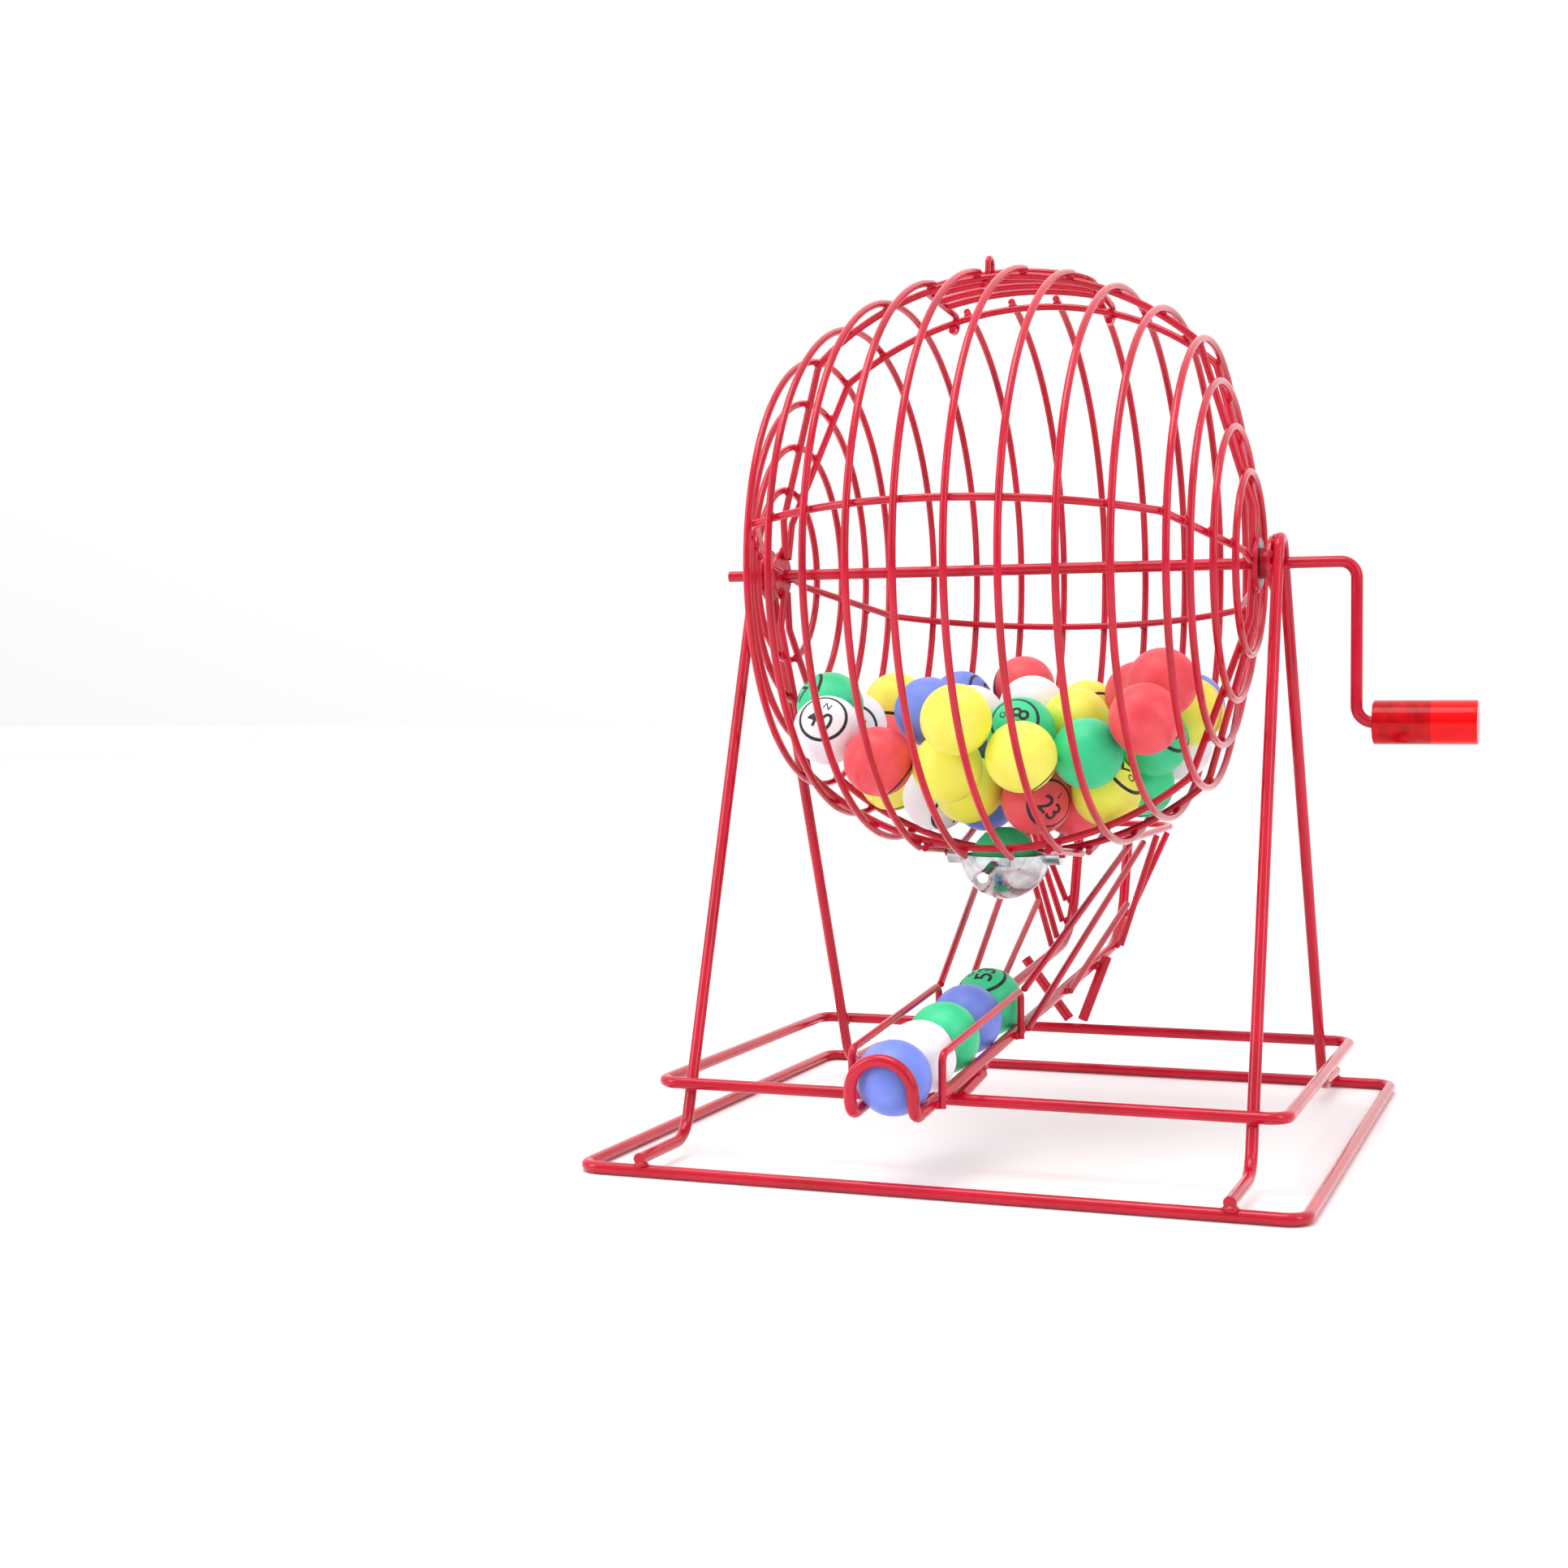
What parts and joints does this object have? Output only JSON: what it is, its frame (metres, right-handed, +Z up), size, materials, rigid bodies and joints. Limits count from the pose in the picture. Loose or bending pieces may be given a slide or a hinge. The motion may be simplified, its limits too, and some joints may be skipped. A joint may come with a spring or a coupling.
{
  "type": "bingo cage",
  "caption": "Wire bingo cage on a two-level stand, with a hand crank, a hatch, a tipping exit cup, a sloping ball track and hollow numbered balls.",
  "frame": {"origin": "middle of the base loop, on the table", "axes": "+X along the axle towards the crank, +Y from the player to the chute, +Z up"},
  "size_m": [0.434, 0.4286, 0.4896],
  "materials": {
    "red_coat": "glossy powder coat over steel wire",
    "bare_steel": "dull bare washer face",
    "chrome": "polished",
    "cup_metal": "bright, slightly mottled nickel plate over a casting",
    "grip_acrylic": "translucent, glossy sides and frosted ends",
    "ball_blue": "satin, printed",
    "ball_green": "satin, printed",
    "ball_red": "satin, printed",
    "ball_white": "satin, printed",
    "ball_yellow": "satin, printed"
  },
  "bodies": {
    "stand": {"base_frame": "red_coat", "tier_frame": "red_coat", "leg_left": "red_coat", "leg_right": "red_coat", "bearing_left": "red_coat", "bearing_right": "red_coat", "track_rails": "red_coat", "track_bracket_left": "red_coat", "track_bracket_right": "red_coat", "rear_support_left": "red_coat", "rear_support_right": "red_coat", "guard_rail_left": "red_coat", "guard_rail_right": "red_coat", "chute_wires_left": "red_coat", "chute_wires_right": "red_coat", "chute_ribs_left": "red_coat", "chute_ribs_right": "red_coat", "chute_rim": "red_coat", "cage_balls_blue": "ball_blue", "cage_balls_green": "ball_green", "cage_balls_red": "ball_red", "cage_balls_white": "ball_white", "cage_balls_yellow": "ball_yellow", "track_balls_blue": "ball_blue", "track_balls_green": "ball_green", "track_balls_white": "ball_white"},
    "drum": {"axle_crank": "red_coat", "hub_left": "bare_steel", "hub_right": "bare_steel", "rib_front": "red_coat", "rib_top_front": "red_coat", "rib_top_back": "red_coat", "rib_back": "red_coat", "rib_bottom_back": "red_coat", "rib_bottom_front": "red_coat", "ring_left_1": "red_coat", "ring_left_2": "red_coat", "ring_left_3": "red_coat", "ring_left_4": "red_coat", "ring_left_5": "red_coat", "ring_left_6": "red_coat", "ring_left_7": "red_coat", "ring_left_8": "red_coat", "ring_right_1": "red_coat", "ring_right_2": "red_coat", "ring_right_3": "red_coat", "ring_right_4": "red_coat", "ring_right_5": "red_coat", "ring_right_6": "red_coat", "ring_right_7": "red_coat", "ring_right_8": "red_coat", "cup_hanger_left": "red_coat", "cup_hanger_right": "red_coat"},
    "hatch": {"hatch_frame": "red_coat", "hatch_bars": "red_coat"},
    "latch": {"hatch_latch": "red_coat"},
    "cup": {"exit_cup": "cup_metal", "cup_stop_pins": "chrome", "ball_in_cup": "ball_green"},
    "grip": {"crank_grip": "grip_acrylic"}
  },
  "joints": [
    {"name": "crank_turn", "type": "hinge", "parent": "stand", "child": "drum", "pos_m": [-0.006, 0, 0.3155], "axis": [1, 0, 0], "continuous": true},
    {"name": "hatch_lift", "type": "hinge", "parent": "drum", "child": "hatch", "pos_m": [-0.006, 0.04651, 0.463], "axis": [-1, 0, 0], "range_deg": [0, 110]},
    {"name": "latch_swing", "type": "hinge", "parent": "hatch", "child": "latch", "pos_m": [-0.015, -0.0106, 0.47922], "axis": [1, 0, 0], "range_deg": [0, 50]},
    {"name": "cup_swing", "type": "hinge", "parent": "drum", "child": "cup", "pos_m": [-0.006, -0.01378, 0.15601], "axis": [1, 0, 0], "range_deg": [-12, 14]},
    {"name": "grip_spin", "type": "hinge", "parent": "drum", "child": "grip", "pos_m": [0.22, 0, 0.2295], "axis": [1, 0, 0], "continuous": true}
  ]
}
